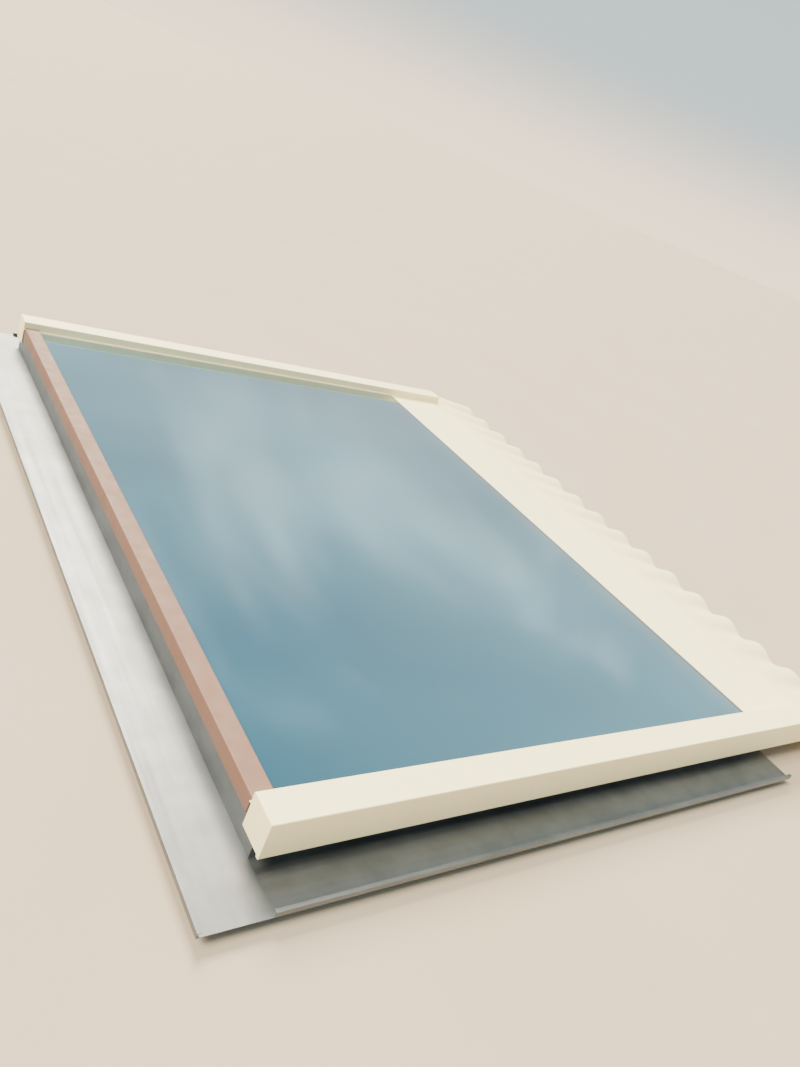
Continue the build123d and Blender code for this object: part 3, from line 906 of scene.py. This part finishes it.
@dataclass
class Cappings:
    """The two folded side cappings with their closing plates, clips and lip gaskets.

    Each gasket has a soft fin that shows beside the capping's lip and lies on the glass. Sizes are in
    millimetres.
    """

    coated: tuple[str, ...] = ("side_cap_left", "side_cap_right", "cap_end_plates")
    lip_x: float = CAP_LOW.x
    gasket_x: float = CAP_LOW.x + 1.0             # the gasket starts this far under the lip
    gasket_top: float = corners("cap_lip_gaskets")[1].z
    glass_z: float = PANE_HIGH.z
    fin_reach: float = 3.6
    fin_tip: float = 0.4
    fin_curve: float = 1.5                        # the higher, the more hollow the fin
    fin_from_y: float = CAP_LOW.y
    fin_to_y: float = corners("head_lip_gasket")[0].y
    fin_wander: Ripple = Ripple(0.35, 160.0, 7.0)
    steps_along: int = 120
    steps_across: int = 9

    def fin_point(self, u: float, v: float) -> Vector:
        """Lay a point of the right fin's skin.

        Args:
            u: Share of the way from the capping's sill end to the head.
            v: Share of the way from the gasket to the fin's edge on the glass.

        Returns:
            The point in metres.
        """
        y = self.fin_from_y + u * (self.fin_to_y - self.fin_from_y)
        reach = self.fin_reach + self.fin_wander.at(y)
        x = self.gasket_x - v * (self.gasket_x - self.lip_x + reach)
        past = min(1.0, max(0.0, (self.lip_x - x) / reach))
        foot_z = self.glass_z + self.fin_tip
        z = foot_z + (self.gasket_top - foot_z) * (1 - past) ** self.fin_curve
        return Vector((x, y, z)) * MM

    def build_fins(self) -> None:
        """Build the right gasket's fin and mirror it to the left one."""
        fin = grid_over(self.steps_along, self.steps_across, self.fin_point)
        fill_down(fin, self.glass_z)
        other = bmesh.ops.duplicate(fin, geom=[*fin.verts, *fin.edges, *fin.faces])["geom"]
        bmesh.ops.scale(fin, verts=[g for g in other if isinstance(g, bmesh.types.BMVert)], vec=(-1, 1, 1))
        bmesh.ops.recalc_face_normals(fin, faces=fin.faces)
        add_piece("lip_gasket_fins", fin, Soft.LIP.value)

    def build(self) -> None:
        """Dress the cappings and what belongs to them, and lay the fins."""
        dress_nodes(Coat.CREAM.value, self.coated)
        dress_nodes(Soft.LIP.value, ["cap_lip_gaskets"])
        dress_nodes(Metal.STAINLESS.value, ["cap_clips"])
        self.build_fins()


@dataclass
class GlazingUnit:
    """The sealed unit: outer pane, cavity edge and laminated inner pane."""

    plies: tuple[str, ...] = ("inner_ply_lower", "inner_ply_upper")

    def build(self) -> None:
        """Dress the panes, the spacer and the seals."""
        dress_nodes(Pane.OUTER.value, ["outer_pane"])
        dress_nodes(Pane.INNER.value, self.plies)
        dress_nodes(Pane.FILM.value, ["interlayer"])
        dress_nodes(Metal.SPACER.value, ["spacer_bar"])
        dress_nodes(Plastic.BREAK.value, ["spacer_keys"])
        dress_nodes(Soft.EDGE_SEAL.value, ["edge_seal"])
        dress_nodes(Soft.GASKET.value, ["seat_gasket"])
        dress_nodes(Plastic.BLOCK.value, ["setting_blocks"])


@dataclass
class KerbFrame:
    """The thermally broken kerb with its pressure plates and screws."""

    skins: tuple[str, ...] = ("inner", "outer")
    sides: tuple[str, ...] = ("head", "sill", "left", "right")
    clamped: tuple[str, ...] = ("head", "left", "right")

    def build(self) -> None:
        """Dress the extrusions, the strips between them, the cleats and the clamping pieces."""
        dress_nodes(Coat.KERB.value, [f"kerb_{skin}_{side}" for skin in self.skins for side in self.sides])
        dress_nodes(Coat.KERB.value, [f"pressure_plate_{side}" for side in self.clamped])
        dress_nodes(Plastic.BREAK.value, ["thermal_strips"])
        dress_nodes(Metal.CLEAT.value, ["corner_cleats"])
        dress_nodes(Soft.GASKET_ALONG_Y.value, ["plate_gaskets"])
        dress_nodes(Metal.STAINLESS.value, ["plate_screws"])


@dataclass
class Flashings:
    """The cover strip at the head, and the back gutter and side trays that lead the rain away."""

    trays: tuple[str, ...] = ("side_tray_left", "side_tray_right")

    def build(self) -> None:
        """Dress the flashings and the gasket below the cover strip."""
        dress_nodes(Coat.TERRACOTTA.value, ["head_cover"])
        dress_nodes(Soft.GASKET_ALONG_X.value, ["head_lip_gasket"])
        dress_nodes(Metal.TRAY.value, self.trays)
        dress_nodes(Metal.GUTTER.value, ["back_gutter"])


@dataclass(frozen=True)
class SkyBand:
    """One level of the studio's light.

    Attributes:
        height: The sine of its elevation.
        colour: Its colour as sRGB hex.
        brightness: Its brightness; white is 1.
    """

    height: float
    colour: str
    brightness: float

    def light(self) -> Colour:
        """Give the band's colour times its brightness."""
        red, green, blue, _ = linear(self.colour)
        return (red * self.brightness, green * self.brightness, blue * self.brightness, 1.0)


@dataclass(frozen=True)
class Haze:
    """Soft bright streaks in the studio's sky, which the glass mirrors.

    Attributes:
        band: Where they start, and their light.
        size: Their width, on a sky of radius 1.
        stretch: How much longer than wide they are.
        along: The direction that they run in.
        cover: Noise values at which a streak begins and is full; lower ones cover more of the sky.
        fade: Height over which they grow in above the band's.
        detail: Finer octaves on top of them.
        roughness: How strong the finer octaves are.
        swirl: How much they curl.
    """

    band: SkyBand = SkyBand(0.22, "E8F2F0", 1.7)
    size: float = 0.34
    stretch: float = 1.7
    along: tuple[float, float, float] = (-0.73, -0.59, 0.34)
    cover: Range = (0.49, 0.66)
    fade: float = 0.2
    detail: float = 3.0
    roughness: float = 0.5
    swirl: float = 0.5

    def share(self, tree: Tree, direction: Socket, height: Socket) -> Socket:
        """Say how much of the streaks shows in a direction.

        Args:
            tree: The sky's node tree.
            direction: The direction that is looked in.
            height: The sine of its elevation.

        Returns:
            The share from 0 to 1.
        """
        turn = Vector((1, 0, 0)).rotation_difference(Vector(self.along)).to_euler()
        run = add_node(tree, "ShaderNodeMapping", {
            "Vector": direction, "Rotation": turn, "Scale": (self.stretch, 1, 1),
        }, vector_type="TEXTURE")
        soft = add_node(tree, "ShaderNodeTexNoise", {
            "Vector": run.outputs["Vector"], "Scale": 1 / self.size, "Detail": self.detail,
            "Roughness": self.roughness, "Distortion": self.swirl,
        })
        streaks = add_node(tree, "ShaderNodeMapRange", {
            "Value": soft.outputs["Fac"], "From Min": self.cover[0], "From Max": self.cover[1],
        }, interpolation_type="SMOOTHSTEP")
        overhead = add_node(tree, "ShaderNodeMapRange", {
            "Value": height, "From Min": self.band.height, "From Max": self.band.height + self.fade,
        }, interpolation_type="SMOOTHSTEP")
        return add_node(tree, "ShaderNodeMath", {
            0: streaks.outputs["Result"], 1: overhead.outputs["Result"],
        }, operation="MULTIPLY").outputs[0]


@dataclass(frozen=True)
class Lamp:
    """A large soft light a long way off.

    Attributes:
        name: Its name.
        toward: Where it stands, seen from the skylight.
        strength: Its irradiance in watts a square metre.
        spread: How wide it looks, in degrees.
        colour: Its colour as sRGB hex.
    """

    name: str
    toward: tuple[float, float, float]
    strength: float
    spread: float
    colour: str = "FFF3D8"

    def hang(self) -> None:
        """Put the lamp into the scene."""
        data = bpy.data.lights.new(self.name, "SUN")
        data.energy = self.strength
        data.angle = math.radians(self.spread)
        data.color = linear(self.colour)[:3]
        light = bpy.data.objects.new(self.name, data)
        light.rotation_euler = (-Vector(self.toward)).to_track_quat("-Z", "Y").to_euler()
        bpy.context.scene.collection.objects.link(light)


@dataclass(frozen=True)
class PhotoCamera:
    """The camera of the photograph, worked out from the vanishing points of the skylight's edges.

    Attributes:
        at: Where it stands, in metres.
        right: Which way the picture's right points.
        up: Which way its top points.
        back: Which way it looks away from.
        lens: Focal length in millimetres.
        sensor: Width of the picture on the sensor, in millimetres.
        near: Nearest distance that is drawn, in metres.
        far: Farthest distance that is drawn, in metres.
    """

    at: tuple[float, float, float] = (-2.411, 2.142, 1.488)
    right: tuple[float, float, float] = (-0.4895, -0.7948, 0.3588)
    up: tuple[float, float, float] = (0.5463, 0.0412, 0.8365)
    back: tuple[float, float, float] = (-0.6797, 0.6055, 0.4141)
    lens: float = 28.02
    sensor: float = 36.0
    near: float = 0.05
    far: float = 600.0

    def place(self) -> None:
        """Put the camera into the scene and look through it."""
        data = bpy.data.cameras.new("photo_camera")
        data.lens = self.lens
        data.sensor_width = self.sensor
        data.sensor_fit = "AUTO"
        data.clip_start = self.near
        data.clip_end = self.far
        camera = bpy.data.objects.new("photo_camera", data)
        turn = Matrix((self.right, self.up, self.back)).transposed().to_4x4()
        camera.matrix_world = Matrix.Translation(self.at) @ turn
        bpy.context.scene.collection.objects.link(camera)
        bpy.context.scene.camera = camera


@dataclass
class Studio:
    """A pale floor, soft light and the camera of the photograph."""

    board: PaintedBoard = PaintedBoard("painted_board", "AB9A87")
    floor_radius: float = 250.0
    floor_steps: int = 96
    floor_drop: float = 0.5   # millimetres below the kerb, so that the two faces don't lie in one plane
    sky_bands: tuple[SkyBand, ...] = (
        SkyBand(0.0, "F9E1C0", 2.6),
        SkyBand(0.14, "D8E6E8", 1.3),
        SkyBand(0.75, "86BBCD", 1.08),
    )
    haze: Haze = Haze()
    lamps: tuple[Lamp, ...] = (
        Lamp("soft_key", (1.0, -0.12, 1.0), 10.8, 24.0),
        Lamp("soft_side", (0.0, 0.85, 1.0), 9.5, 28.0),
    )
    camera: PhotoCamera = PhotoCamera()

    def build(self) -> None:
        """Set up the floor, the light and the camera."""
        self.lay_floor()
        self.light_sky()
        for lamp in self.lamps:
            lamp.hang()
        self.camera.place()

    def lay_floor(self) -> None:
        """Lay a plain floor of painted board under the skylight."""
        disc = bmesh.new()
        bmesh.ops.create_circle(disc, cap_ends=True, radius=self.floor_radius, segments=self.floor_steps,
                                matrix=Matrix.Translation((0, 0, -self.floor_drop * MM)))
        mesh = bpy.data.meshes.new("studio_floor")
        disc.to_mesh(mesh)
        disc.free()
        mesh.materials.append(self.board.material())
        floor = bpy.data.objects.new("studio_floor", mesh)
        bpy.context.scene.collection.objects.link(floor)

    def light_sky(self) -> None:
        """Light the studio softly.

        The sky is bright and warm where it meets the floor and bluer from above, with bright streaks in it.
        """
        world = bpy.data.worlds.new("studio_sky")
        bpy.context.scene.world = world
        world.use_nodes = True
        tree = world.node_tree
        tree.nodes.clear()
        direction = add_node(tree, "ShaderNodeTexCoord").outputs["Generated"]
        height = add_node(tree, "ShaderNodeSeparateXYZ", {"Vector": direction}).outputs["Z"]
        colour = self.sky_bands[0].light()
        for lower, upper in zip(self.sky_bands, self.sky_bands[1:]):
            rise = add_node(tree, "ShaderNodeMapRange", {
                "Value": height, "From Min": lower.height, "From Max": upper.height,
            }, interpolation_type="SMOOTHSTEP")
            colour = add_node(tree, "ShaderNodeMix", {
                MIX_SHARE: rise.outputs["Result"], MIX_FIRST: colour, MIX_SECOND: upper.light(),
            }, data_type="RGBA").outputs[MIX_COLOUR]
        veil = self.haze.share(tree, direction, height)
        hazy = add_node(tree, "ShaderNodeMix", {
            MIX_SHARE: veil, MIX_FIRST: colour, MIX_SECOND: self.haze.band.light(),
        }, data_type="RGBA").outputs[MIX_COLOUR]
        light = add_node(tree, "ShaderNodeBackground", {"Color": hazy, "Strength": 1.0})
        add_node(tree, "ShaderNodeOutputWorld", {"Surface": light.outputs[0]})


def main() -> None:
    """Build the skylight's looks piece by piece, then the studio round it."""
    logging.basicConfig(level=logging.INFO, format="%(message)s")
    for part in (KerbFrame(), GlazingUnit(), Flashings(), Cappings(), SillJoint(), SillApron(), Studio()):
        LOG.info("building %s", type(part).__name__)
        part.build()


if __name__ == "__main__":
    main()
